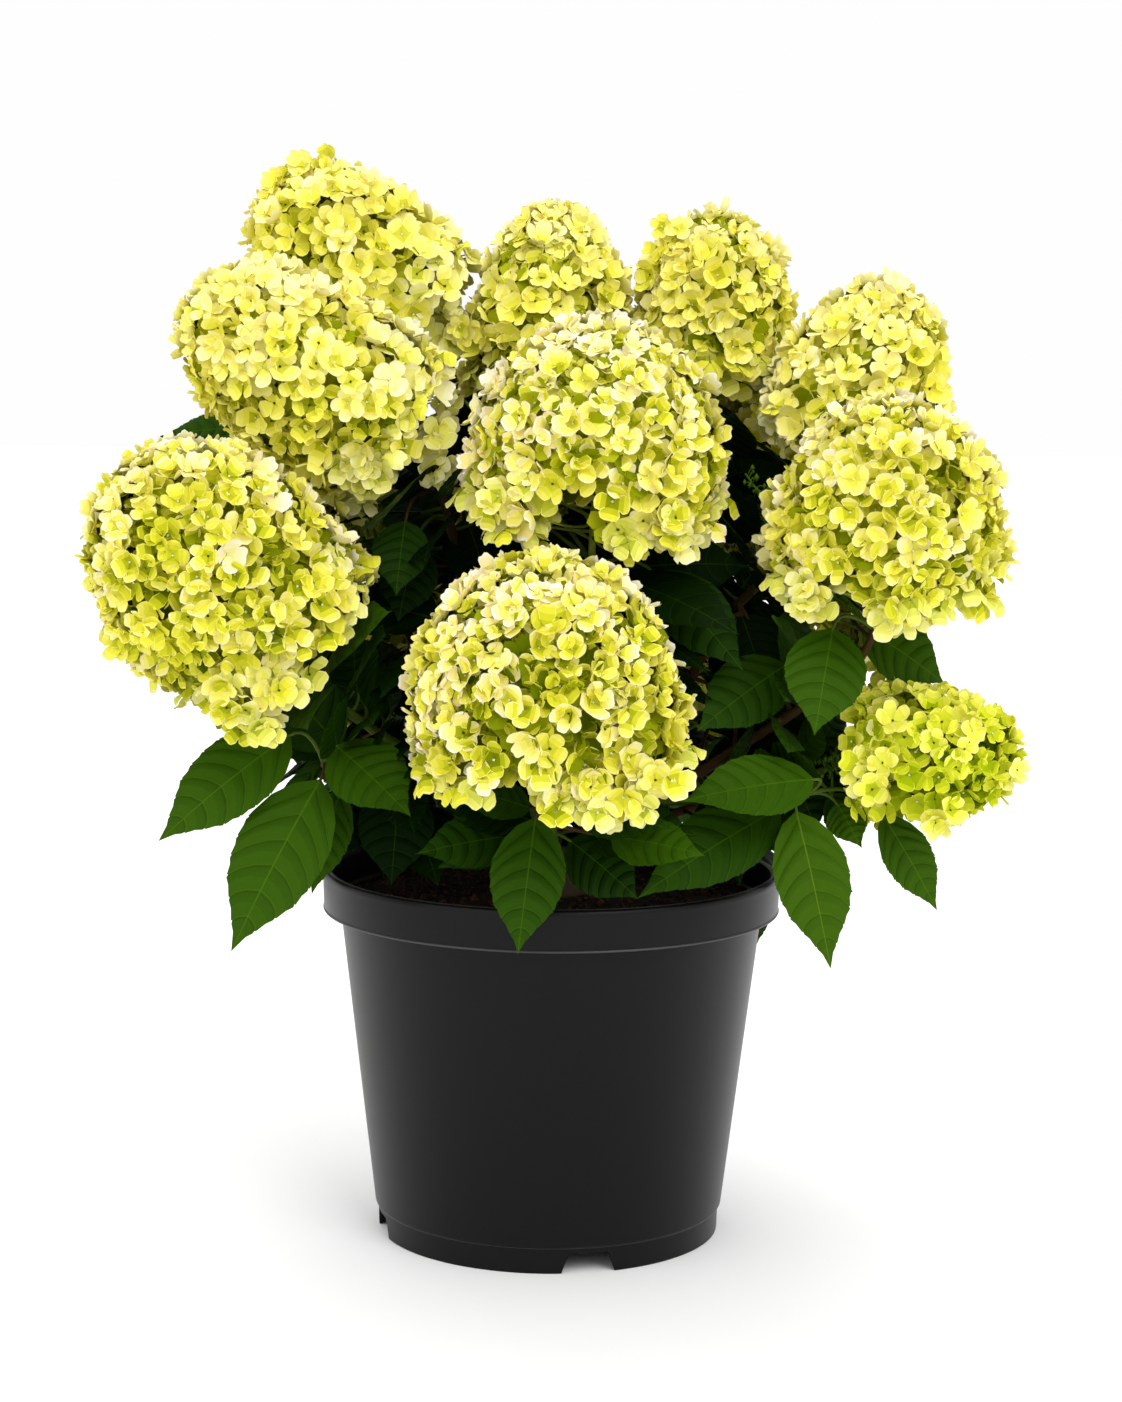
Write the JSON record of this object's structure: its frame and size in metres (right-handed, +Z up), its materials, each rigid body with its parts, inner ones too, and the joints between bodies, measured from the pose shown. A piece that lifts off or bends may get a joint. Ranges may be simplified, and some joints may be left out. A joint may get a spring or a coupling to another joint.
{
  "type": "panicle hydrangea",
  "caption": "Panicle hydrangea in a black nursery pot: a dense domed shrub of woody canes, drooping leaves and large cream-lime flower heads that stands on its pot.",
  "frame": {"origin": "on the ground under the middle of the pot", "axes": "+Z straight up; the pictured side of the plant faces -Y, with +X to its right"},
  "size_m": [0.547, 0.4603, 0.6514],
  "materials": {
    "pot": "satin black moulded plastic with a soft sheen",
    "potting_mix": "matt dark bark and peat crumbs",
    "wood": "matt brown bark with fine lengthwise cracks",
    "foliage": "dark green leaves with a soft sheen, paler veins and green stalks",
    "florets": "soft cream and lime sepals, slightly translucent looking",
    "green_florets": "soft vivid lime sepals of a young flower head"
  },
  "bodies": {
    "root": {"pot": "pot", "potting_mix": "potting_mix", "woody_crown": "wood", "cane_front": "wood", "cane_left_front": "wood", "cane_right_front": "wood", "cane_middle": "wood", "cane_upper_left": "wood", "cane_upper_right": "wood", "cane_rear_left": "wood", "cane_rear_right": "wood", "cane_rear": "wood", "panicle_front": "florets", "panicle_centre": "florets", "panicle_right": "florets", "panicle_left": "florets", "panicle_upper_left": "florets", "panicle_back_left": "florets", "panicle_back_mid": "florets", "panicle_back_right": "florets", "panicle_upper_right": "florets", "panicle_small": "green_florets", "panicle_rear_left": "florets", "panicle_rear_mid": "florets", "panicle_rear_right": "florets", "panicle_low_rear_left": "florets", "panicle_low_rear_right": "florets", "panicle_side_right": "florets", "panicle_side_left": "florets", "shoot_front": "foliage", "shoot_centre": "foliage", "shoot_right": "foliage", "shoot_left": "foliage", "shoot_upper_left": "foliage", "shoot_back_left": "foliage", "shoot_back_mid": "foliage", "shoot_back_right": "foliage", "shoot_upper_right": "foliage", "shoot_small": "foliage", "shoot_rear_left": "foliage", "shoot_rear_mid": "foliage", "shoot_rear_right": "foliage", "shoot_low_rear_left": "foliage", "shoot_low_rear_right": "foliage", "shoot_side_right": "foliage", "shoot_side_left": "foliage", "shoot_under_left": "foliage", "shoot_under_right": "foliage", "shoot_inner_left": "foliage", "shoot_inner_right": "foliage", "shoot_under_rear": "foliage", "shoot_under_rear_left": "foliage", "shoot_under_rear_right": "foliage", "shoot_under_side_left": "foliage", "shoot_under_side_right": "foliage"}
  },
  "joints": []
}
